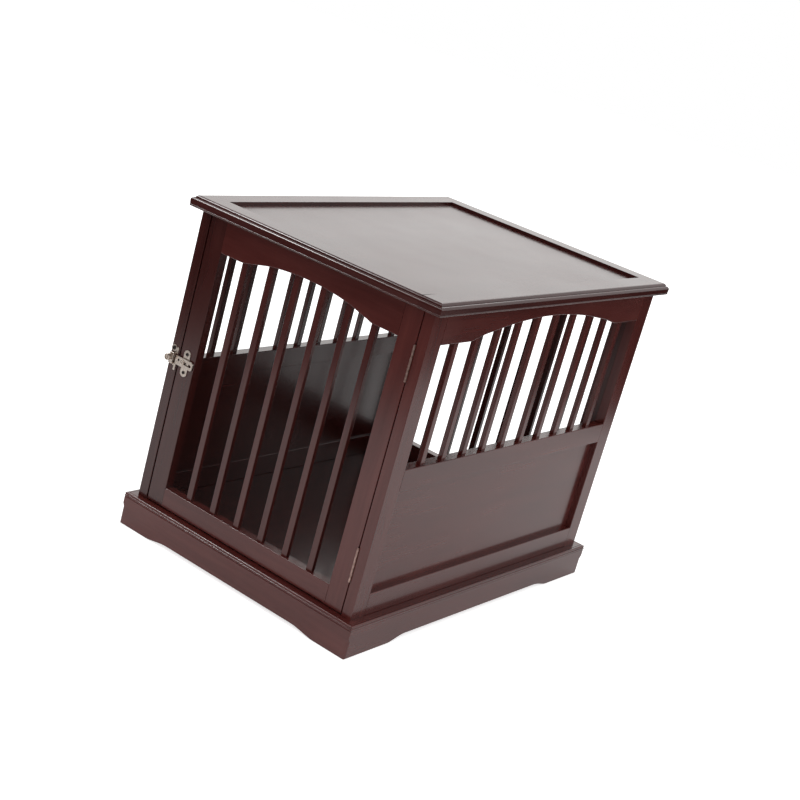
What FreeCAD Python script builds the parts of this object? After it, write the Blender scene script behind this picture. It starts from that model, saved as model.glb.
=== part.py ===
import FreeCAD, Part
import os

os.makedirs("parts", exist_ok=True)

V = FreeCAD.Vector
Z_AXIS = V(0, 0, 1)

# Driving sizes in millimetres. X runs along the door side, Y goes back, Z is up.
# The origin is on the floor under the middle of the table.
body_x = 208.7
body_y = 305.5
wall_t = 16.5
ledge_z = 50.5
wall_top_z = 495.0

# Table top
top_z = 512.0
arris_x = 215.3
arris_y = 310.3
lip_x = 186.5
lip_y = 281.0
recess = 4.8
rebate = 6.0
tongue_t = 8.0

# Side walls and barred back
stile_w = 31.8
bottom_rail_top = 84.5
back_rail_top = 83.0
mid_rail_z0 = 238.8
mid_rail_z1 = 270.3
tenon_l = 12.0
tenon_t = 6.0
panel_setback = 9.0
wall_panel_t = 4.0
groove = 6.0
slat_w = 10.0
slat_d = 7.5
slat_tenon = 8.0
side_slats = [25.3, 76.0, 126.7, 177.4, 228.0]
end_slats = [23.5, 70.6, 117.7]
arris = 0.9

# Wavy lower edge of the top rails: distance from the middle, height
side_arch = [
    (205, 448.5),
    (180, 453.8),
    (160, 457.9),
    (140, 461.1),
    (120, 464.4),
    (100, 467.2),
    (60, 471.1),
    (20, 473.2),
]
end_arch = [
    (125, 446.2),
    (110, 448.1),
    (95, 451.8),
    (80, 455.8),
    (60, 459.6),
    (40, 461.9),
    (20, 463.3),
]

# Door
door_x0 = -189.9
door_x1 = 190.6
door_z0 = 53.0
door_z1 = 493.0
door_stile = 30.0
door_bottom_top = 82.0
door_slat_mid = 1.2

# Base
base_x = 222.8
base_y = 317.8
board_t = 18.0
corner_r = 4.5
corner_stop = 33.0
scallop_front = (173.0, 122.0, 6.0)
scallop_side = (226.0, 176.0, 7.5)
floor_t = 9.0
cleat_w = 20.0
cleat_h = 21.0
block = 30.0

# Hinges
hinge_x = 191.3
hinge_y = -306.7
hinge_len = 50.8
hinge_z = {"upper": 394.0, "lower": 101.5}
knuckle_r = 1.6
pin_r = 0.8
pin_gap = 0.05
leaf_t = 1.0
leaf_w = 15.0
knuckle_gap = 0.2

# Latch, heights measured outwards from the front face
front = -body_y
latch_z = 272.9
plate_t = 1.2
screw_dome = 1.2
strap_x = -176.1
strap_half = 6.2
strap_reach = 13.9
bar_h0 = 1.4
bar_h1 = 3.4
bar_half = 6.6
bar_x0 = -194.2
bar_x1 = -160.3
latch_travel = 14.6
slot_r = 2.15
rivet_x = -180.0
rivet_r = 3.6
rivet_shank = 2.0
tunnel_gap = 1.1
tunnel_top = 3.8
keeper_x0 = -206.0
keeper_x1 = -198.4
keeper_top = 5.0
keeper_wall = 0.8
flange_x0 = -197.3
flange_x1 = -193.8
flange_reach = 17.6
tab_x = -202.8
tab_z = 287.4
tab_r = 5.0
lock_x = -202.6
lock_z = latch_z + 1.4
lock_r = 1.6
boss_r = 3.25
boss_top = 6.2
knob_r = 4.9
knob_h0 = 7.0
knob_h1 = 13.6


def box(x0, x1, y0, y1, z0, z1):
    return Part.makeBox(x1 - x0, y1 - y0, z1 - z0, V(x0, y0, z0))


def joined(*solids):
    shape = solids[0].multiFuse(list(solids[1:]))
    return shape.removeSplitter()


def save(node, shape):
    shape.exportStep("parts/" + node + ".step")


def along(shape, axis):
    """Edges of the shape that run straight along the named axis."""
    found = []
    for edge in shape.Edges:
        if edge.Curve.TypeId != "Part::GeomLine":
            continue
        run = edge.Vertexes[-1].Point - edge.Vertexes[0].Point
        if abs(getattr(run, axis)) > edge.Length - 0.001:
            found.append(edge)
    return found


def at(side, u, t, z):
    """Point on a wall: u along it, t inwards from its outer face, z up."""
    if side == "left":
        return V(-body_x + t, u, z)
    if side == "right":
        return V(body_x - t, u, z)
    if side == "back":
        return V(u, body_y - t, z)
    return V(u, -body_y + t, z)


def wall_box(side, u0, u1, t0, t1, z0, z1):
    a = at(side, u0, t0, z0)
    b = at(side, u1, t1, z1)
    return box(min(a.x, b.x), max(a.x, b.x), min(a.y, b.y), max(a.y, b.y), z0, z1)


def length_axis(side):
    return "y" if side in ("left", "right") else "x"


def eased_stile(side, u0, u1, z0, z1):
    stile = wall_box(side, u0, u1, 0, wall_t, z0, z1)
    return stile.makeFillet(arris, along(stile, "z"))


def eased_rail(side, u0, u1, z0, z1):
    rail = wall_box(side, u0, u1, 0, wall_t, z0, z1)
    rail = rail.makeFillet(arris, along(rail, length_axis(side)))
    return with_tenons(side, rail, u0, u1, z0 + 5, z1 - 5)


def with_tenons(side, rail, u0, u1, z0, z1):
    t0 = (wall_t - tenon_t) / 2
    near = wall_box(side, u0 - tenon_l, u0 + 5, t0, t0 + tenon_t, z0, z1)
    far = wall_box(side, u1 - 5, u1 + tenon_l, t0, t0 + tenon_t, z0, z1)
    return joined(rail, near, far)


def arched_rail(side, u0, u1, arch, z1):
    """Top rail whose lower edge rises in a flat wave to the middle."""
    mid = (u0 + u1) / 2
    end_z = arch[0][1]
    left = [at(side, mid - u, 0, z) for u, z in arch]
    right = [at(side, mid + u, 0, z) for u, z in reversed(arch)]
    run = at(side, 1, 0, 0) - at(side, 0, 0, 0)
    corners = [
        right[-1],
        at(side, u1, 0, end_z),
        at(side, u1, 0, z1),
        at(side, u0, 0, z1),
        at(side, u0, 0, end_z),
        left[0],
    ]
    straight = Part.makePolygon(corners)
    outline = Part.Wire([wave_edge(left + right, run)] + straight.Edges)
    depth = at(side, 0, wall_t, 0) - at(side, 0, 0, 0)
    rail = Part.Face(outline).extrude(depth)
    lower = []
    for edge in rail.Edges:
        rise = edge.BoundBox.ZMax
        wide = max(edge.BoundBox.XLength, edge.BoundBox.YLength)
        if rise < z1 - 5 and wide > wall_t + 1:
            lower.append(edge)
    rail = rail.makeFillet(arris, lower)
    return with_tenons(side, rail, u0, u1, end_z + 5, z1 - 5)


def arch_height(arch, mid, u):
    """Height of the wavy edge at a slat, read between the two nearest points."""
    off = abs(u - mid)
    if off >= arch[0][0]:
        return arch[0][1]
    for (far, low), (near, high) in zip(arch, arch[1:]):
        if off >= near:
            return low + (high - low) * (far - off) / (far - near)
    return arch[-1][1]


def slat(side, u, z0, z1):
    t0 = (wall_t - slat_d) / 2
    bar = wall_box(side, u - slat_w / 2, u + slat_w / 2, t0, t0 + slat_d, z0, z1)
    return bar.makeFillet(arris, along(bar, "z"))


def slat_row(side, centres, mid, arch, seat_z):
    row = []
    for off in centres:
        for u in (mid - off, mid + off):
            top = arch_height(arch, mid, u) + slat_tenon
            row.append(slat(side, u, seat_z - slat_tenon, top))
    return row


def cut_all(shape, tools):
    for tool in tools:
        shape = shape.cut(tool)
    return shape


def panel_wall(side, half, centres, arch):
    """Frame with a flat panel below and a row of slats above."""
    inner = half - stile_w
    z0 = ledge_z
    z1 = wall_top_z
    pieces = {
        "near_stile": eased_stile(side, -half, -inner, z0, z1),
        "far_stile": eased_stile(side, inner, half, z0, z1),
        "arched_rail": arched_rail(side, -inner, inner, arch, z1),
        "mid_rail": eased_rail(side, -inner, inner, mid_rail_z0, mid_rail_z1),
        "bottom_rail": eased_rail(side, -inner, inner, z0, bottom_rail_top),
    }
    reach = inner + groove
    panel_z0 = bottom_rail_top - groove
    panel_z1 = mid_rail_z0 + groove
    panel_back = panel_setback + wall_panel_t
    panel = wall_box(side, -reach, reach, panel_setback, panel_back, panel_z0, panel_z1)
    slats = slat_row(side, centres, 0, arch, mid_rail_z1)
    rails = [pieces["arched_rail"], pieces["mid_rail"], pieces["bottom_rail"]]
    for name in ("near_stile", "far_stile"):
        pieces[name] = cut_all(pieces[name], rails + [panel])
    pieces["mid_rail"] = cut_all(pieces["mid_rail"], slats + [panel])
    pieces["bottom_rail"] = pieces["bottom_rail"].cut(panel)
    pieces["arched_rail"] = cut_all(pieces["arched_rail"], slats)
    pieces["panel"] = panel
    pieces["slats"] = Part.makeCompound(slats)
    return pieces


def barred_frame(side, u0, u1, slat_mid, z0, z1, stile, rail_top):
    """Frame filled with six tall slats between its low rail and wavy top rail."""
    inner0 = u0 + stile
    inner1 = u1 - stile
    near = eased_stile(side, u0, inner0, z0, z1)
    far = eased_stile(side, inner1, u1, z0, z1)
    top = arched_rail(side, inner0, inner1, end_arch, z1)
    low = eased_rail(side, inner0, inner1, z0, rail_top)
    slats = slat_row(side, end_slats, slat_mid, end_arch, rail_top)
    near = cut_all(near, [top, low])
    far = cut_all(far, [top, low])
    return near, far, cut_all(top, slats), cut_all(low, slats), Part.makeCompound(slats)


def nose_outline():
    """Edge moulding of the top: distance out from the arris, height."""
    return [
        ("line", (0.0, top_z)),
        ("arc", (2.9, top_z - 1.0), (4.3, top_z - 3.4)),
        ("line", (4.3, top_z - 3.9)),
        ("line", (5.2, top_z - 3.9)),
        ("arc", (7.8, top_z - 5.3), (8.9, top_z - 8.2)),
        ("line", (8.6, top_z - 13.8)),
        ("line", (8.2, top_z - 14.1)),
        ("arc", (8.9, top_z - 15.3), (8.0, top_z - 16.6)),
        ("line", (7.6, top_z - 17.0)),
    ]


def base_outline():
    """Plinth face: distance out from the board face, height."""
    return [
        ("line", (-board_t, 0.0)),
        ("line", (-1.2, 0.0)),
        ("arc", (-0.35, 0.35), (0.0, 1.2)),
        ("line", (0.0, 42.6)),
        ("line", (-0.6, 43.56)),
        ("arc", (0.45, 45.1), (-0.6, 46.64)),
        ("line", (-1.0, 46.8)),
        ("line", (-0.45, 47.0)),
        ("arc", (0.0, 48.3), (-2.1, 50.4)),
        ("line", (-4.0, 50.4)),
        ("line", (-4.4, 49.5)),
        ("line", (-4.8, ledge_z)),
        ("line", (-board_t, ledge_z)),
    ]


def outline_edges(steps, place):
    """Edges through the steps; place turns (out, height) into a point."""
    edges = []
    last = place(*steps[0][1])
    for step in steps[1:]:
        end = place(*step[-1])
        if step[0] == "arc":
            edges.append(Part.Arc(last, place(*step[1]), end).toShape())
        else:
            edges.append(Part.makeLine(last, end))
        last = end
    return edges


def moulded_prism(axis, half, reach):
    """Full slab section along one axis with the edge moulding on both sides."""
    def right_side(out, z):
        return V(half + out, -reach, z) if axis == "y" else V(-reach, half + out, z)

    def left_side(out, z):
        return V(-half - out, -reach, z) if axis == "y" else V(-reach, -half - out, z)

    steps = nose_outline()
    foot = steps[-1][-1]
    edges = outline_edges(steps, right_side)
    edges.append(Part.makeLine(right_side(*foot), left_side(*foot)))
    edges += outline_edges(steps, left_side)
    edges.append(Part.makeLine(left_side(*steps[0][1]), right_side(*steps[0][1])))
    face = Part.Face(Part.Wire(Part.sortEdges(edges)[0]))
    return face.extrude(V(0, 2 * reach, 0) if axis == "y" else V(2 * reach, 0, 0))


def top_pieces():
    slab = moulded_prism("y", arris_x, 400).common(moulded_prism("x", arris_y, 400))
    low_x = lip_x + rebate
    low_y = lip_y + rebate
    field = box(-lip_x, lip_x, -lip_y, lip_y, 480, 530)
    tongue = box(-low_x, low_x, -low_y, low_y, wall_top_z, wall_top_z + tongue_t)
    raised = box(-lip_x, lip_x, -lip_y, lip_y, wall_top_z, top_z - recess)
    panel = joined(tongue, raised)
    frame = slab.cut(field).cut(tongue)
    pieces = {"top_panel": panel}
    pieces["top_left_rail"] = frame.common(box(-300, -lip_x, -400, 400, 480, 530))
    pieces["top_right_rail"] = frame.common(box(lip_x, 300, -400, 400, 480, 530))
    pieces["top_front_rail"] = frame.common(box(-lip_x, lip_x, -400, 0, 480, 530))
    pieces["top_back_rail"] = frame.common(box(-lip_x, lip_x, 0, 400, 480, 530))
    return pieces


def base_board(side):
    """One plinth board, mitred at both ends, with its scalloped foot."""
    def place(out, z):
        if side in ("front", "back"):
            return V(-base_x - 20, -base_y - out, z)
        return V(-base_x - out, -base_y - 20, z)

    steps = base_outline()
    edges = outline_edges(steps, place)
    edges.append(Part.makeLine(place(*steps[-1][-1]), place(*steps[0][1])))
    face = Part.Face(Part.Wire(edges))
    long_way = side in ("front", "back")
    reach = 2 * (base_x + 20) if long_way else 2 * (base_y + 20)
    board = face.extrude(V(reach, 0, 0) if long_way else V(0, reach, 0))
    half = (base_x if long_way else base_y) - board_t
    inner_face = (base_y if long_way else base_x) - board_t
    outside = inner_face + 40
    rim = []
    for run, out in ((-half, inner_face), (half, inner_face), (half + 40, outside), (-half - 40, outside)):
        rim.append(V(run, -out, -1) if long_way else V(-out, run, -1))
    wedge = Part.makePolygon(rim + rim[:1])
    board = board.common(Part.Face(wedge).extrude(V(0, 0, 60)))
    board = cut_all(board, [scallop(side)] + corner_waste())
    if side in ("back", "right"):
        board.rotate(V(0, 0, 0), Z_AXIS, 180)
    return board


def corner_waste():
    """Wood taken off the outer corners of the plinth, up to a tapered stop below the moulding."""
    waste = []
    taper = 6.0
    for s in (-1, 1):
        for r in (-1, 1):
            turn = V(s * (base_x - corner_r), r * (base_y - corner_r), -1)
            x0, x1 = sorted((turn.x, s * (base_x + 4)))
            y0, y1 = sorted((turn.y, r * (base_y + 4)))
            corner = box(x0, x1, y0, y1, -1, corner_stop)
            corner = corner.cut(Part.makeCylinder(corner_r, corner_stop, turn))
            stop = V(turn.x, turn.y, corner_stop - taper)
            waste.append(corner.cut(Part.makeCone(corner_r, corner_r * 1.45, taper, stop)))
    return waste


def wave_edge(points, run):
    """Smooth edge through the points, level at both ends."""
    wave = Part.BSplineCurve()
    wave.interpolate(Points=points, InitialTangent=run, FinalTangent=run)
    return wave.toShape()


def scallop(side):
    """Shallow relief under a plinth board that leaves a foot at each end."""
    long_way = side in ("front", "back")
    foot, flat, rise = scallop_front if long_way else scallop_side
    start = -base_y - 40 if long_way else -base_x - 40

    def p(u, z):
        return V(u, start, z) if long_way else V(start, u, z)

    run = p(1, 0) - p(0, 0)
    middle = (foot + flat) / 2
    low = wave_edge([p(-foot, 0), p(-middle, rise / 2), p(-flat, rise)], run)
    high = wave_edge([p(flat, rise), p(middle, rise / 2), p(foot, 0)], run)
    under = Part.makePolygon([p(foot, 0), p(foot, -5), p(-foot, -5), p(-foot, 0)])
    over = Part.makeLine(p(-flat, rise), p(flat, rise))
    outline = Part.Wire([low, over, high] + under.Edges)
    return Part.Face(outline).extrude(V(0, 80, 0) if long_way else V(80, 0, 0))


def base_inside():
    """Floor, the cleats that carry it and the blocks behind the mitres."""
    ix = base_x - board_t
    iy = base_y - board_t
    floor_z = ledge_z - floor_t
    low_z = floor_z - cleat_h
    floor = box(-ix, ix, -iy, iy, floor_z, ledge_z)
    cleats = []
    blocks = []
    for s in (-1, 1):
        x0, x1 = sorted((s * ix, s * (ix - cleat_w)))
        y0, y1 = sorted((s * iy, s * (iy - cleat_w)))
        cleats.append(box(-ix + block, ix - block, y0, y1, low_z, floor_z))
        cleats.append(box(x0, x1, -iy + block, iy - block, low_z, floor_z))
        for r in (-1, 1):
            x0, x1 = sorted((s * ix, s * (ix - block)))
            y0, y1 = sorted((r * iy, r * (iy - block)))
            blocks.append(box(x0, x1, y0, y1, 2, floor_z))
    return floor, cleats, blocks


def screw_blank(tip, way, head_d, shank_d, length, head_h, domed):
    """Screw without its driver recess. tip is the top of the head, way points in."""
    if domed:
        head = Part.makeCylinder(head_d / 2, head_h, tip, way)
        crown = [e for e in head.Edges if (e.BoundBox.Center - tip).Length < 0.01 and len(e.Vertexes) == 1]
        head = head.makeFillet(head_h * 0.75, crown)
    else:
        head = Part.makeCone(head_d / 2, shank_d / 2, head_h, tip, way)
    shank = Part.makeCylinder(shank_d / 2, length - head_h, tip + way * head_h, way)
    return joined(head, shank)


def driver_recess(tip, way, head_d, deep):
    """Crossed slot in a screw head."""
    arm = head_d * 0.3
    thin = head_d * 0.07
    long_bar = Part.makeBox(2 * arm, 2 * thin, deep, V(-arm, -thin, 0))
    short_bar = Part.makeBox(2 * thin, 2 * arm, deep, V(-thin, -arm, 0))
    cross = joined(long_bar, short_bar)
    cross.Placement = FreeCAD.Placement(tip, FreeCAD.Rotation(Z_AXIS, way))
    return cross


def screws(places, way, head_d, shank_d, length, head_h, domed):
    blanks = [screw_blank(p, way, head_d, shank_d, length, head_h, domed) for p in places]
    made = [b.cut(driver_recess(p, way, head_d, head_h * 0.7)) for b, p in zip(blanks, places)]
    return blanks, made


def hinge(z0):
    """Butt hinge: two leaves with five knuckles between them, and the pin."""
    step = hinge_len / 5
    axis_at = V(hinge_x, hinge_y, z0)
    back_y = hinge_y + leaf_w
    door_leaf = box(hinge_x - 1.4, hinge_x - 1.4 + leaf_t, hinge_y, back_y, z0, z0 + hinge_len)
    frame_leaf = box(hinge_x + 0.4, hinge_x + 0.4 + leaf_t, hinge_y, back_y, z0, z0 + hinge_len)
    frame_knuckles = []
    door_knuckles = []
    for i in range(5):
        low = z0 + i * step + (knuckle_gap / 2 if i > 0 else 0)
        high = z0 + (i + 1) * step - (knuckle_gap / 2 if i < 4 else 0)
        knuckle = Part.makeCylinder(knuckle_r, high - low, V(hinge_x, hinge_y, low))
        swept_from = V(hinge_x, hinge_y, z0 + i * step - knuckle_gap / 2)
        swept = Part.makeCylinder(knuckle_r + 0.35, step + knuckle_gap, swept_from)
        if i % 2 == 0:
            frame_knuckles.append(knuckle)
            door_leaf = door_leaf.cut(swept)
        else:
            door_knuckles.append(knuckle)
            frame_leaf = frame_leaf.cut(swept)
    frame_leaf = joined(frame_leaf, *frame_knuckles)
    door_leaf = joined(door_leaf, *door_knuckles)
    shaft = Part.makeCylinder(pin_r, hinge_len + 1.0, axis_at - V(0, 0, 0.5), Z_AXIS)
    running = Part.makeCylinder(pin_r + pin_gap, hinge_len + 2.0, axis_at - V(0, 0, 1.0), Z_AXIS)
    cap = Part.makeCylinder(pin_r + 0.6, 0.7, axis_at + V(0, 0, hinge_len), Z_AXIS)
    rims = [e for e in cap.Edges if e.BoundBox.ZMin > z0 + hinge_len + 0.5]
    cap = cap.makeFillet(0.4, rims)
    return frame_leaf.cut(shaft), door_leaf.cut(running), joined(shaft, cap)


def hinge_pocket(z0):
    """Room cut in the wood round the knuckles."""
    return Part.makeCylinder(knuckle_r + 0.35, hinge_len + 2.4, V(hinge_x, hinge_y, z0 - 1.2), Z_AXIS)


def face_box(x0, x1, z0, z1, h0, h1):
    """Box on the front face between two heights above it."""
    return box(x0, x1, front - h1, front - h0, z0, z1)


def face_pin(x, z, r, h0, h1):
    return Part.makeCylinder(r, h1 - h0, V(x, front - h0, z), V(0, -1, 0))


def outer_rim(shape, h):
    """Edges that lie level on a face fitting, above height h."""
    return [e for e in shape.Edges if e.BoundBox.YMax < front - h and e.BoundBox.YLength < 0.01]


def latch_strap():
    """Strap on the door under the slide bar, and the rivet that the bar runs on."""
    low = latch_z - strap_reach
    high = latch_z + strap_reach
    ends = [face_pin(strap_x, z, strap_half, 0, plate_t) for z in (low, high)]
    strap = joined(face_box(strap_x - strap_half, strap_x + strap_half, low, high, 0, plate_t), *ends)
    places = [V(strap_x, front - plate_t - screw_dome, z) for z in (low, high)]
    head_top = bar_h1 + 1.6
    shank = face_pin(rivet_x, latch_z, rivet_shank, -9, bar_h1 + 0.3)
    rivet = joined(shank, face_pin(rivet_x, latch_z, rivet_r, bar_h1 + 0.2, head_top))
    rivet = rivet.makeFillet(0.8, outer_rim(rivet, head_top - 0.1))
    rivet = rivet.cut(face_pin(rivet_x, latch_z, rivet_r - 2.0, head_top - 0.6, head_top + 1))
    return strap, places, rivet


def latch_bar():
    """Flat slide bar with a rounded free end, a slot for the rivet and a hole for the pin."""
    bar = face_box(bar_x0, bar_x1, latch_z - bar_half, latch_z + bar_half, bar_h0, bar_h1)
    bar = bar.makeFillet(1.5, [e for e in along(bar, "y") if e.BoundBox.XMax < bar_x0 + 1])
    bar = bar.makeFillet(4.2, [e for e in along(bar, "y") if e.BoundBox.XMin > bar_x1 - 1])
    slot_x0 = rivet_x - 0.1
    slot_x1 = rivet_x + latch_travel + 0.1
    slot = [face_pin(x, latch_z, slot_r, 0, 10) for x in (slot_x0, slot_x1)]
    slot.append(face_box(slot_x0, slot_x1, latch_z - slot_r, latch_z + slot_r, 0, 10))
    hole = face_pin(lock_x + latch_travel, lock_z, lock_r + 0.15, 0, 10)
    return cut_all(bar, slot + [hole])


def keeper_pieces():
    """Keeper on the frame, a bridge over the bar with a flange and a screw tab, and its pin."""
    mouth = bar_half + tunnel_gap
    half = mouth + keeper_wall
    bridge = face_box(keeper_x0, keeper_x1, latch_z - half, latch_z + half, 0, keeper_top)
    bridge = bridge.makeFillet(0.7, outer_rim(bridge, keeper_top - 0.1))
    tunnel = face_box(keeper_x0 - 1, keeper_x1 + 1, latch_z - mouth, latch_z + mouth, plate_t, tunnel_top)
    flange = face_box(flange_x0, flange_x1, latch_z - flange_reach, latch_z + flange_reach, 0, plate_t)
    flange = flange.makeFillet(1.6, along(flange, "y"))
    window = face_box(keeper_x1, flange_x1 + 1, latch_z - mouth, latch_z + mouth, -1, 10)
    webs = [
        face_box(keeper_x1 - 1, flange_x0 + 1, latch_z - half - 2, latch_z - mouth, 0, plate_t),
        face_box(keeper_x1 - 1, flange_x0 + 1, latch_z + mouth, latch_z + half + 2, 0, plate_t),
        face_box(tab_x, flange_x0 + 1, tab_z - 3, tab_z + 2, 0, plate_t),
    ]
    tab = face_pin(tab_x, tab_z, tab_r, 0, plate_t)
    boss = face_pin(lock_x, lock_z, boss_r, tunnel_top + 0.4, boss_top)
    keeper = joined(bridge, boss, flange, tab, *webs)
    pin_hole = face_pin(lock_x, lock_z, lock_r + pin_gap, plate_t, 10)
    keeper = cut_all(keeper, [tunnel, window, pin_hole])
    place = V(tab_x, front - plate_t - screw_dome, tab_z)

    knob = face_pin(lock_x, lock_z, knob_r, knob_h0, knob_h1)
    knob = knob.makeFillet(1.0, outer_rim(knob, knob_h1 - 0.1))
    dish = face_pin(lock_x, lock_z, knob_r - 1.5, knob_h1 - 1.2, knob_h1 + 1)
    dish = dish.cut(face_pin(lock_x, lock_z, lock_r, knob_h1 - 2, knob_h1 + 2))
    under = face_pin(lock_x, lock_z, boss_r + 0.35, knob_h0 - 0.5, knob_h0 + 2)
    shank = face_pin(lock_x, lock_z, lock_r, tunnel_top + 0.1, knob_h0 + 2.5)
    return keeper, place, joined(cut_all(knob, [dish, under]), shank)


def build():
    parts = {}

    # Side walls and back wall
    for side in ("left", "right"):
        wall = panel_wall(side, body_y, side_slats, side_arch)
        parts[side + "_front_stile"] = wall.pop("near_stile")
        parts[side + "_rear_stile"] = wall.pop("far_stile")
        for name, shape in wall.items():
            parts[side + "_" + name] = shape
    back_half = body_x - wall_t
    barred = barred_frame("back", -back_half, back_half, 0, ledge_z, wall_top_z, stile_w, back_rail_top)
    for name, shape in zip(("left_stile", "right_stile", "arched_rail", "bottom_rail", "slats"), barred):
        parts["back_" + name] = shape

    # Dowels from the back stiles into the rear stiles of the sides
    dowels = []
    for s, name in ((-1, "left"), (1, "right")):
        tools = []
        for z in (120.0, 215.0, 360.0, 470.0):
            start = V(s * (body_x - wall_t - 18), body_y - wall_t / 2, z)
            tools.append(Part.makeCylinder(3, 27, start, V(s, 0, 0)))
        parts[name + "_rear_stile"] = cut_all(parts[name + "_rear_stile"], tools)
        parts["back_" + name + "_stile"] = cut_all(parts["back_" + name + "_stile"], tools)
        dowels += tools
    parts["back_dowels"] = Part.makeCompound(dowels)

    # Table top and the cleats that hold it
    parts.update(top_pieces())
    inner_x = body_x - wall_t
    cleats = []
    blanks = []
    made = []
    for s, name in ((-1, "left"), (1, "right")):
        x0, x1 = sorted((s * inner_x, s * (inner_x - 15)))
        cleat = box(x0, x1, -284, 284, 480, wall_top_z)
        into_wall = [V(s * (inner_x - 15), y, 487.5) for y in (-240, -80, 80, 240)]
        into_top = [V(s * (inner_x - 7.5), y, 480) for y in (-200, 0, 200)]
        side_blanks, side_made = screws(into_wall, V(s, 0, 0), 7, 3.5, 27, 2.6, False)
        up_blanks, up_made = screws(into_top, Z_AXIS, 7, 3.5, 22, 2.6, False)
        cleats.append(cut_all(cleat, side_blanks + up_blanks))
        parts[name + "_arched_rail"] = cut_all(parts[name + "_arched_rail"], side_blanks)
        parts["top_panel"] = cut_all(parts["top_panel"], up_blanks)
        blanks += side_blanks + up_blanks
        made += side_made + up_made
    parts["top_cleats"] = Part.makeCompound(cleats)
    parts["top_cleat_screws"] = Part.makeCompound(made)

    # Base
    for side in ("front", "back", "left", "right"):
        parts["base_" + side + "_board"] = base_board(side)
    floor, floor_cleats, blocks = base_inside()
    low_z = ledge_z - floor_t - cleat_h
    under_sides = [V(s * 198.5, y, low_z) for s in (-1, 1) for y in (-225, -75, 75, 225)]
    blanks, made = screws(under_sides, Z_AXIS, 8, 4, 56, 3, False)
    floor = cut_all(floor, blanks)
    parts["floor_cleats"] = Part.makeCompound([cut_all(c, blanks) for c in floor_cleats])
    for side in ("left", "right"):
        parts[side + "_bottom_rail"] = cut_all(parts[side + "_bottom_rail"], blanks)
    parts["base_screws"] = Part.makeCompound(made)
    parts["floor_panel"] = floor
    parts["base_corner_blocks"] = Part.makeCompound(blocks)

    # Door
    door_size = (door_x0, door_x1, door_slat_mid, door_z0, door_z1, door_stile, door_bottom_top)
    barred = barred_frame("front", *door_size)
    for name, shape in zip(("latch_stile", "hinge_stile", "arched_rail", "bottom_rail", "slats"), barred):
        parts["door_" + name] = shape

    # Hinges
    frame_blanks = []
    frame_made = []
    door_blanks = []
    door_made = []
    for level, z0 in hinge_z.items():
        frame_leaf, door_leaf, pin = hinge(z0)
        leaf_y = hinge_y + leaf_w * 0.6
        rows = [z0 + hinge_len * k for k in (0.16, 0.5, 0.84)]
        in_frame = [V(hinge_x + 0.4, leaf_y, z) for z in rows]
        in_door = [V(hinge_x - 0.4, leaf_y, z) for z in rows]
        blanks, made = screws(in_frame, V(1, 0, 0), 4.6, 2.4, 12, 1.0, False)
        parts[level + "_hinge_frame_leaf"] = cut_all(frame_leaf, blanks)
        frame_blanks += blanks + [frame_leaf, hinge_pocket(z0)]
        frame_made += made
        blanks, made = screws(in_door, V(-1, 0, 0), 4.6, 2.4, 12, 1.0, False)
        parts[level + "_hinge_door_leaf"] = cut_all(door_leaf, blanks)
        door_blanks += blanks + [door_leaf, hinge_pocket(z0)]
        door_made += made
        parts[level + "_hinge_pin"] = pin
    parts["right_front_stile"] = cut_all(parts["right_front_stile"], frame_blanks)
    parts["door_hinge_stile"] = cut_all(parts["door_hinge_stile"], door_blanks)
    parts["hinge_frame_screws"] = Part.makeCompound(frame_made)
    parts["hinge_door_screws"] = Part.makeCompound(door_made)

    # Latch
    strap, strap_places, rivet = latch_strap()
    keeper, keeper_place, pin = keeper_pieces()
    inwards = V(0, 1, 0)
    blanks, made = screws(strap_places, inwards, 5.0, 2.6, 13, screw_dome, True)
    parts["latch_plate"] = cut_all(strap, blanks + [rivet])
    parts["door_latch_stile"] = cut_all(parts["door_latch_stile"], blanks + [rivet])
    parts["latch_plate_screws"] = Part.makeCompound(made)
    blanks, made = screws([keeper_place], inwards, 6.4, 2.6, 13, screw_dome, True)
    parts["latch_keeper"] = cut_all(keeper, blanks)
    parts["left_front_stile"] = cut_all(parts["left_front_stile"], blanks)
    parts["keeper_screw"] = made[0]
    parts["latch_bar"] = latch_bar()
    parts["latch_rivet"] = rivet
    parts["lock_pin"] = pin

    for node, shape in parts.items():
        save(node, shape)


build()
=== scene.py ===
import bpy
from mathutils import Matrix, Vector

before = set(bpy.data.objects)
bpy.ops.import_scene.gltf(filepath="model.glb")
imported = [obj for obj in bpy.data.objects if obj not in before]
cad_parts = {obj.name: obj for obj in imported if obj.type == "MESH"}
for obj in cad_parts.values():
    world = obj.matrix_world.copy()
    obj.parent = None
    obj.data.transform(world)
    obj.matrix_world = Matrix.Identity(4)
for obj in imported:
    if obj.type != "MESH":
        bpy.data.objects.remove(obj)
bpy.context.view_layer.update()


# ---------------------------------------------------------------- right wall
# Stiles, rails, bars and a thin panel, tenoned and glued. The hardwood is stained
# deep reddish brown, darker and lighter along its grain, and lacquered glossy. The
# coat keeps fine dust and brush marks.
def node(tree, kind, values=(), **settings):
    """One node with its properties and the plain values of its inputs."""
    made = tree.nodes.new(kind)
    for key, value in settings.items():
        setattr(made, key, value)
    for key, value in dict(values).items():
        made.inputs[key].default_value = value
    return made


def maths(tree, what, *values, clamp=False):
    """Math node on sockets or numbers; gives its output."""
    made = node(tree, "ShaderNodeMath", operation=what, use_clamp=clamp)
    for i, value in enumerate(values):
        if isinstance(value, (int, float)):
            made.inputs[i].default_value = value
        else:
            tree.links.new(value, made.inputs[i])
    return made.outputs[0]


def noise(tree, place, scale, detail, roughness=0.5):
    """Noise value at the point given by the place socket."""
    values = {"Scale": scale, "Detail": detail, "Roughness": roughness}
    made = node(tree, "ShaderNodeTexNoise", values)
    tree.links.new(place, made.inputs["Vector"])
    return made.outputs[0]


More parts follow.
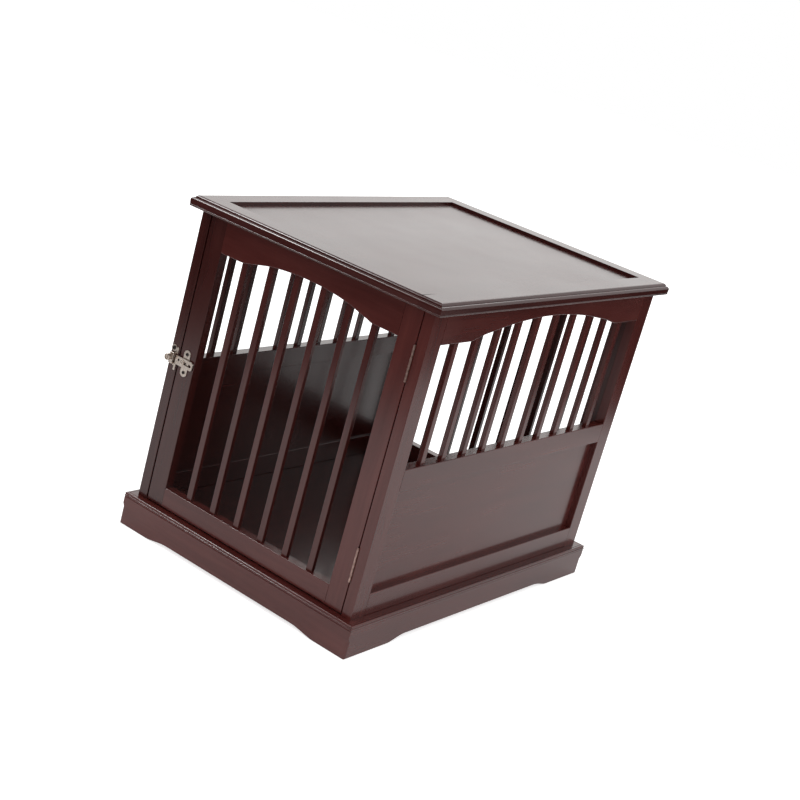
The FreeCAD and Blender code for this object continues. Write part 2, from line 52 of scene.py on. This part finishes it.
def on_piece(tree):
    """Place on the piece, in metres from the middle of the table's foot."""
    return node(tree, "ShaderNodeTexCoord").outputs["Object"]


def ramp(tree, socket, stops):
    """Colour ramp with (position, colour) stops."""
    made = node(tree, "ShaderNodeValToRGB")
    while len(made.color_ramp.elements) < len(stops):
        made.color_ramp.elements.new(0.5)
    for element, (where, colour) in zip(made.color_ramp.elements, stops):
        element.position = where
        element.color = colour
    tree.links.new(socket, made.inputs[0])
    return made.outputs[0]


def shader_group(name, inputs, outputs):
    """Shader node group with named sockets; gives it with its entry and leave nodes."""
    group = bpy.data.node_groups.new(name, "ShaderNodeTree")
    for label, kind, value in inputs:
        sock = group.interface.new_socket(name=label, in_out="INPUT", socket_type=kind)
        sock.default_value = value
    for label, kind in outputs:
        group.interface.new_socket(name=label, in_out="OUTPUT", socket_type=kind)
    entry = group.nodes.new("NodeGroupInput")
    leave = group.nodes.new("NodeGroupOutput")
    return group, entry, leave


stained_grain, entry, leave = shader_group(
    "stained_grain",
    [
        ("Stretch", "NodeSocketVector", (1, 1, 1)),
        ("Shift", "NodeSocketFloat", 0.0),
        ("Tone", "NodeSocketFloat", 1.0),
    ],
    [
        ("Color", "NodeSocketColor"),
        ("Roughness", "NodeSocketFloat"),
        ("Height", "NodeSocketFloat"),
    ],
)
link = stained_grain.links.new
where = on_piece(stained_grain)
moved = node(stained_grain, "ShaderNodeVectorMath", operation="ADD")
link(where, moved.inputs[0])
link(entry.outputs["Shift"], moved.inputs[1])
stretched = node(stained_grain, "ShaderNodeVectorMath", operation="MULTIPLY")
link(moved.outputs[0], stretched.inputs[0])
link(entry.outputs["Stretch"], stretched.inputs[1])
fibres = noise(stained_grain, stretched.outputs[0], 4.0, 7.0, 0.62)
clouds = noise(stained_grain, moved.outputs[0], 5.0, 3.0)
dust = noise(stained_grain, where, 900.0, 2.0)

darkest_stain = (0.058, 0.0090, 0.0074, 1)
middle_stain = (0.086, 0.0160, 0.0132, 1)
lightest_stain = (0.116, 0.0250, 0.0205, 1)
from_clouds = maths(stained_grain, "MULTIPLY", clouds, 0.35)
stain_depth = maths(stained_grain, "MULTIPLY_ADD", fibres, 0.65, from_clouds)
stops = [(0.30, darkest_stain), (0.50, middle_stain), (0.70, lightest_stain)]
toned = node(stained_grain, "ShaderNodeVectorMath", operation="SCALE")
link(ramp(stained_grain, stain_depth, stops), toned.inputs[0])
link(entry.outputs["Tone"], toned.inputs["Scale"])
link(toned.outputs[0], leave.inputs["Color"])
brushed = maths(stained_grain, "MULTIPLY_ADD", clouds, 0.16, 0.13)
dusty = maths(stained_grain, "MULTIPLY", dust, 0.06)
link(maths(stained_grain, "ADD", brushed, dusty), leave.inputs["Roughness"])
specks = maths(stained_grain, "MULTIPLY", dust, 0.15)
link(maths(stained_grain, "MULTIPLY_ADD", fibres, 0.5, specks), leave.inputs["Height"])


def new_material(name):
    """Material holding only a Principled shader; gives it with its tree and shader."""
    mat = bpy.data.materials.new(name)
    mat.use_nodes = True
    tree = mat.node_tree
    return mat, tree, tree.nodes["Principled BSDF"]


def place_grain(tree, stretch, shift=0.0, tone=1.0):
    """Wood grain in a material, drawn out along one axis; a tone under 1 is deeper."""
    values = {"Stretch": stretch, "Shift": shift, "Tone": tone}
    return node(tree, "ShaderNodeGroup", values, node_tree=stained_grain)


coat_weight = 0.12
coat_roughness = 0.08


def lacquer(name, stretch, shift, tone=1.0):
    """Stained and lacquered wood whose grain is drawn out by stretch."""
    mat, tree, shader = new_material(name)
    grain = place_grain(tree, stretch, shift, tone)
    tree.links.new(grain.outputs["Color"], shader.inputs["Base Color"])
    tree.links.new(grain.outputs["Roughness"], shader.inputs["Roughness"])
    shader.inputs["IOR"].default_value = 1.5
    shader.inputs["Coat Weight"].default_value = coat_weight
    shader.inputs["Coat Roughness"].default_value = coat_roughness
    bump = node(tree, "ShaderNodeBump", {"Strength": 0.25, "Distance": 0.0002})
    tree.links.new(grain.outputs["Height"], bump.inputs["Height"])
    tree.links.new(bump.outputs[0], shader.inputs["Normal"])
    return mat


def finish(mat, prefix, *pieces):
    """Gives the material to the pieces whose names start with the prefix."""
    for piece in pieces:
        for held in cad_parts[prefix + piece].material_slots:
            held.material = mat


grain_up = (14, 14, 1.1)
grain_across = (1.1, 14, 14)
grain_lengthways = (14, 1.1, 14)
upright = lacquer("lacquer_upright", grain_up, 0.0)
lengthways = lacquer("lacquer_lengthways", grain_lengthways, 7.3)
finish(upright, "right_", "front_stile", "rear_stile", "slats")
finish(lengthways, "right_", "arched_rail", "mid_rail", "bottom_rail", "panel")


# ---------------------------------------------------------------- left wall
# The mirror image of the right wall, made of the same wood in the same way. Its lacquer
# is toned darker as painted shade, for the shade on its inner face inside the cabinet.
shade_tone = 0.55
shaded_upright = lacquer("lacquer_upright_painted_shade", grain_up, 11.9, shade_tone)
shaded_lengthways = lacquer("lacquer_lengthways_painted_shade", grain_lengthways, 9.6, shade_tone)
finish(shaded_upright, "left_", "front_stile", "rear_stile", "slats")
finish(shaded_lengthways, "left_", "arched_rail", "mid_rail", "bottom_rail", "panel")


# ---------------------------------------------------------------- back wall
# A frame with six bars of full height and no panel, held between the side walls by
# dowels. Its rails run across, and its bars take the same painted shade as the left wall.
across = lacquer("lacquer_across", grain_across, 3.7)
finish(upright, "back_", "left_stile", "right_stile")
finish(across, "back_", "arched_rail", "bottom_rail")
finish(shaded_upright, "back_", "slats")


# ---------------------------------------------------------------- plinth and floor
# Four moulded boards, mitred at the corners, go round the foot of the walls. The
# floor board lies inside them on strips, its lacquer toned darker as painted shade inside the
# cabinet.
finish(across, "base_", "front_board", "back_board")
finish(lengthways, "base_", "left_board", "right_board")
finish(shaded_lengthways, "floor_", "panel")


# ---------------------------------------------------------------- blocks, cleats and dowels
# Corner blocks, cleats, strips and dowels are plain pale wood that nobody sees, left
# without lacquer. They are glued and screwed in place.
bare, tree, shader = new_material("bare_softwood")
grain = place_grain(tree, (9, 1.5, 9))
pale_stops = [(0.0, (0.42, 0.27, 0.14, 1)), (1.0, (0.66, 0.48, 0.30, 1))]
pale_wood = ramp(tree, grain.outputs["Height"], pale_stops)
tree.links.new(pale_wood, shader.inputs["Base Color"])
shader.inputs["Roughness"].default_value = 0.75
finish(bare, "", "back_dowels", "base_corner_blocks", "floor_cleats", "top_cleats")


# ---------------------------------------------------------------- top
# Four moulded rails round a panel that sits a little lower, tongued into them. The
# side rails run the whole depth, and the front and back rails are butted between them.
# The top's lacquer is toned deeper as painted shade, for the darker look of its face and moulded
# nose.
top_shade_tone = 0.6
top_lengthways_shaded = lacquer("lacquer_lengthways_top_shade", grain_lengthways, 2.6, top_shade_tone)
top_across_shaded = lacquer("lacquer_across_top_shade", grain_across, 4.4, top_shade_tone)
finish(top_lengthways_shaded, "top_", "panel", "left_rail", "right_rail")
finish(top_across_shaded, "top_", "back_rail")

# The glued joint at the right end of the front rail has opened to a hairline crack.
# It is widest at the outer edge, narrows toward the panel and shows only from above.
joint_x = 0.1865
crack_end_y = -0.284
crack_bottom_z = 0.5112
crack_flare = 0.045
crack_waver = 0.0008
crack_dark = (0.004, 0.002, 0.002, 1)
# The front rail's lacquer also takes the same painted shade as the rest of the top.
worn_and_shaded, tree, shader = new_material("lacquer_across_worn_and_shaded")
grain = place_grain(tree, grain_across, 3.7, top_shade_tone)
where = on_piece(tree)
apart = node(tree, "ShaderNodeSeparateXYZ")
tree.links.new(where, apart.inputs[0])
waver = maths(tree, "MULTIPLY", noise(tree, where, 160.0, 2.0), crack_waver)
from_joint = maths(tree, "SUBTRACT", joint_x, apart.outputs["X"])
from_joint = maths(tree, "SUBTRACT", from_joint, waver)
past_end = maths(tree, "SUBTRACT", crack_end_y, apart.outputs["Y"], clamp=True)
open_gap = maths(tree, "LESS_THAN", from_joint, maths(tree, "MULTIPLY", past_end, crack_flare))
on_top = maths(tree, "GREATER_THAN", apart.outputs["Z"], crack_bottom_z)
cracked = maths(tree, "MULTIPLY", open_gap, on_top)
shade = node(tree, "ShaderNodeMix", {"B": crack_dark}, data_type="RGBA")
tree.links.new(cracked, shade.inputs["Factor"])
tree.links.new(grain.outputs["Color"], shade.inputs["A"])
tree.links.new(shade.outputs["Result"], shader.inputs["Base Color"])
rough = maths(tree, "MAXIMUM", grain.outputs["Roughness"], cracked)
tree.links.new(rough, shader.inputs["Roughness"])
tree.links.new(cracked, shader.inputs["Metallic"])
coated = maths(tree, "MULTIPLY", maths(tree, "SUBTRACT", 1.0, cracked), coat_weight)
tree.links.new(coated, shader.inputs["Coat Weight"])
shader.inputs["Coat Roughness"].default_value = coat_roughness
finish(worn_and_shaded, "top_", "front_rail")


# ---------------------------------------------------------------- door
# A tenoned frame with six bars, hung on the right. The latch stile and the bars are
# painted darker as shade, and the arched rail is a little deeper than the rest.
slat_shade_upright = lacquer("lacquer_upright_slat_shade", grain_up, 6.3, 0.72)
deep_across = lacquer("lacquer_across_deep", grain_across, 5.1, 0.9)
finish(shaded_upright, "door_", "latch_stile")
finish(upright, "door_", "hinge_stile")
finish(slat_shade_upright, "door_", "slats")
finish(deep_across, "door_", "arched_rail")
finish(across, "door_", "bottom_rail")


# ---------------------------------------------------------------- hinges
# Two butt hinges of pressed steel, with leaves let into door and frame and a loose
# pin through the knuckles. Their thin coppery plate has dulled in spots.
plate_mottle, entry, leave = shader_group(
    "plate_mottle",
    [
        ("Dull", "NodeSocketColor", (0.3, 0.3, 0.3, 1)),
        ("Bright", "NodeSocketColor", (0.7, 0.7, 0.7, 1)),
        ("Scale", "NodeSocketFloat", 300.0),
        ("Detail", "NodeSocketFloat", 4.0),
    ],
    [
        ("Color", "NodeSocketColor"),
        ("Rub", "NodeSocketFloat"),
    ],
)
link = plate_mottle.links.new
spots = node(plate_mottle, "ShaderNodeTexNoise")
link(on_piece(plate_mottle), spots.inputs["Vector"])
link(entry.outputs["Scale"], spots.inputs["Scale"])
link(entry.outputs["Detail"], spots.inputs["Detail"])
spread = node(plate_mottle, "ShaderNodeMapRange", {"From Min": 0.3, "From Max": 0.7})
link(spots.outputs[0], spread.inputs["Value"])
mottled = node(plate_mottle, "ShaderNodeMix", data_type="RGBA")
link(spread.outputs[0], mottled.inputs["Factor"])
link(entry.outputs["Dull"], mottled.inputs["A"])
link(entry.outputs["Bright"], mottled.inputs["B"])
link(mottled.outputs["Result"], leave.inputs["Color"])
link(spots.outputs[0], leave.inputs["Rub"])


def plated_steel(name, dull, bright, scale, detail):
    """Thinly plated steel, its colour mottled between dull and bright."""
    mat, tree, shader = new_material(name)
    values = {"Dull": dull, "Bright": bright, "Scale": scale, "Detail": detail}
    mottle = node(tree, "ShaderNodeGroup", values, node_tree=plate_mottle)
    tree.links.new(mottle.outputs["Color"], shader.inputs["Base Color"])
    shader.inputs["Metallic"].default_value = 1.0
    return mat, tree, shader, mottle.outputs["Rub"]


dull_copper = (0.22, 0.13, 0.11, 1)
bright_copper = (0.47, 0.32, 0.28, 1)
coppery, tree, shader, _ = plated_steel("dull_copper_plate", dull_copper, bright_copper, 260.0, 5.0)
shader.inputs["Roughness"].default_value = 0.42
for level in ("upper", "lower"):
    finish(coppery, level + "_hinge_", "frame_leaf", "door_leaf", "pin")


# ---------------------------------------------------------------- latch
# A slide bolt of pressed steel on the face of the door, with its keeper and lock pin
# on the frame. The pale nickel plate is brushed a little by handling.
dull_nickel = (0.46, 0.38, 0.32, 1)
bright_nickel = (0.74, 0.66, 0.60, 1)
nickel, tree, shader, rub = plated_steel("nickel_plate", dull_nickel, bright_nickel, 420.0, 4.0)
tree.links.new(maths(tree, "MULTIPLY_ADD", rub, 0.25, 0.18), shader.inputs["Roughness"])
finish(nickel, "", "latch_plate", "latch_bar", "latch_rivet", "latch_keeper", "lock_pin")


# ---------------------------------------------------------------- screws
# Small steel wood screws: darkened ones at the latch and the hinges, zinc plated
# ones up through the cleats and under the floor.
def screw_steel(name, colour, metallic, roughness):
    mat, tree, shader = new_material(name)
    shader.inputs["Base Color"].default_value = colour
    shader.inputs["Metallic"].default_value = metallic
    shader.inputs["Roughness"].default_value = roughness
    return mat


darkened = screw_steel("dark_screw", (0.055, 0.045, 0.042, 1), 0.8, 0.38)
zinced = screw_steel("zinc_screw", (0.62, 0.63, 0.64, 1), 1.0, 0.32)
finish(darkened, "", "latch_plate_screws", "keeper_screw", "hinge_frame_screws", "hinge_door_screws")
finish(zinced, "", "top_cleat_screws", "base_screws")


# ---------------------------------------------------------------- floor of the studio
# White paper that the table stands on. It reads white to the camera and in the
# gloss of the lacquer, and keeps a faint soft shadow round the plinth.
def matt(name, level, roughness=1.0):
    """Material with no sheen at one level of grey."""
    mat, tree, shader = new_material(name)
    shader.inputs["Base Color"].default_value = (level, level, level, 1)
    shader.inputs["Roughness"].default_value = roughness
    shader.inputs["Specular IOR Level"].default_value = 0.0
    return mat, tree, shader


floor_size = 14.0
paper, tree, shader = matt("white_paper", 0.90, 0.9)
shader.inputs["Emission Color"].default_value = (1.0, 1.0, 1.0, 1)
rays = node(tree, "ShaderNodeLightPath")
mirrored = maths(tree, "MAXIMUM", rays.outputs["Is Glossy Ray"], rays.outputs["Is Transmission Ray"])
to_camera = maths(tree, "MULTIPLY", rays.outputs["Is Camera Ray"], 0.72)
glow = maths(tree, "MULTIPLY_ADD", mirrored, 0.3, to_camera)
tree.links.new(glow, shader.inputs["Emission Strength"])
bpy.ops.mesh.primitive_plane_add(size=floor_size, location=(0, 0, -0.0005))
floor = bpy.context.object
floor.name = "paper_floor"
floor.data.materials.append(paper)


def show_in_gloss_only(panel):
    """Hides a panel from all but the reflections."""
    panel.visible_camera = False
    panel.visible_diffuse = False
    panel.visible_shadow = False


# The dark studio floor starts past the paper. Only the gloss of the lacquer shows it.
paper_reach = {"From Min": 1.15, "From Max": 1.45}
beyond, tree, shader = matt("dark_studio_floor", 0.02)
reach = node(tree, "ShaderNodeVectorMath", operation="LENGTH")
tree.links.new(on_piece(tree), reach.inputs[0])
fade = node(tree, "ShaderNodeMapRange", paper_reach, interpolation_type="SMOOTHSTEP")
tree.links.new(reach.outputs["Value"], fade.inputs["Value"])
tree.links.new(fade.outputs[0], shader.inputs["Alpha"])
bpy.ops.mesh.primitive_plane_add(size=floor_size, location=(0, 0, -0.0002))
surround = bpy.context.object
surround.name = "dark_studio_floor"
surround.data.materials.append(beyond)
show_in_gloss_only(surround)


# ---------------------------------------------------------------- black flags
# Cloth on frames, in front on the left and overhead. Only the gloss of the lacquer
# and the metal shows them, as dark bands beside the bright backdrop.
flag_cloth, tree, shader = matt("black_flag", 0.015)
for name, spot, size, aim in (
    ("front_flag", (-2.8, -4.0, 1.6), (9.0, 3.6), (0, 0, 1.6)),
    ("overhead_flag", (0.0, -1.2, 3.6), (5.0, 5.0), (0, -1.2, 0)),
):
    bpy.ops.mesh.primitive_plane_add(size=1.0, location=spot)
    flag = bpy.context.object
    flag.name = name
    flag.scale = (size[0], size[1], 1.0)
    flag.rotation_euler = (Vector(aim) - Vector(spot)).to_track_quat("Z", "Y").to_euler()
    flag.data.materials.append(flag_cloth)
    show_in_gloss_only(flag)


# ---------------------------------------------------------------- surroundings
# Plain white walls all round: full white where they are seen or mirrored, and
# softer as light on the object.
world = bpy.data.worlds.new("surroundings")
bpy.context.scene.world = world
world.use_nodes = True
tree = world.node_tree
rays = node(tree, "ShaderNodeLightPath")
seen = maths(tree, "MAXIMUM", rays.outputs["Is Camera Ray"], rays.outputs["Is Glossy Ray"])
seen = maths(tree, "MAXIMUM", seen, rays.outputs["Is Transmission Ray"])
level = node(tree, "ShaderNodeMapRange", {"To Min": 0.75, "To Max": 1.0})
tree.links.new(seen, level.inputs["Value"])
backing = tree.nodes["Background"]
backing.inputs["Color"].default_value = (1.0, 1.0, 1.0, 1)
tree.links.new(level.outputs[0], backing.inputs["Strength"])


# ---------------------------------------------------------------- lamps
# Soft boxes, powers in watts. The key stands in front on the left, and a wide warm
# glow behind lights the top. The highlight panel shows in the gloss alone.
def softbox(name, spot, aim, width, height, power, colour=(1, 1, 1)):
    """Rectangular soft lamp at spot, turned to face aim."""
    lamp = bpy.data.lights.new(name, "AREA")
    lamp.shape = "RECTANGLE"
    lamp.size = width
    lamp.size_y = height
    lamp.energy = power
    lamp.color = colour
    stand = bpy.data.objects.new(name, lamp)
    stand.location = spot
    stand.rotation_euler = (Vector(aim) - Vector(spot)).to_track_quat("-Z", "Y").to_euler()
    stand.visible_camera = False
    bpy.context.collection.objects.link(stand)
    return stand


warm_white = (1.0, 0.965, 0.92)
softbox("key_softbox", (-1.9, -1.4, 2.6), (0, 0, 0.3), 0.5, 0.5, 14)
highlight = softbox("highlight_panel", (-2.05, -1.24, 2.85), (0, 0, 0.3), 1.3, 0.7, 32)
highlight.visible_diffuse = False
softbox("backdrop_glow", (-1.75, 2.75, 1.45), (0, 0, 0.5), 3.4, 2.4, 11, warm_white)
softbox("back_softbox", (-0.6, 2.8, 2.4), (0, 0, 0.4), 0.6, 0.4, 2)


# ---------------------------------------------------------------- camera
# It stands where the photograph was taken from, in front on the right and a little
# above the top, and is rolled as the picture is tilted.
photo_width_px = 800
shift_px = 1.0
camera = bpy.data.cameras.new("photo_camera")
camera.sensor_width = 36.0
camera.lens = 71.5
camera.shift_x = shift_px / photo_width_px
right = Vector((0.770365, 0.584081, 0.255710))
up = Vector((-0.380737, 0.099702, 0.919292))
back = Vector((0.511446, -0.805549, 0.299189))
turn = Matrix((right, up, back)).transposed().to_4x4()
tripod = bpy.data.objects.new("photo_camera", camera)
tripod.matrix_world = Matrix.Translation((1.24572, -1.96888, 0.98539)) @ turn
bpy.context.collection.objects.link(tripod)
bpy.context.scene.camera = tripod
bpy.context.scene.view_settings.view_transform = "Standard"
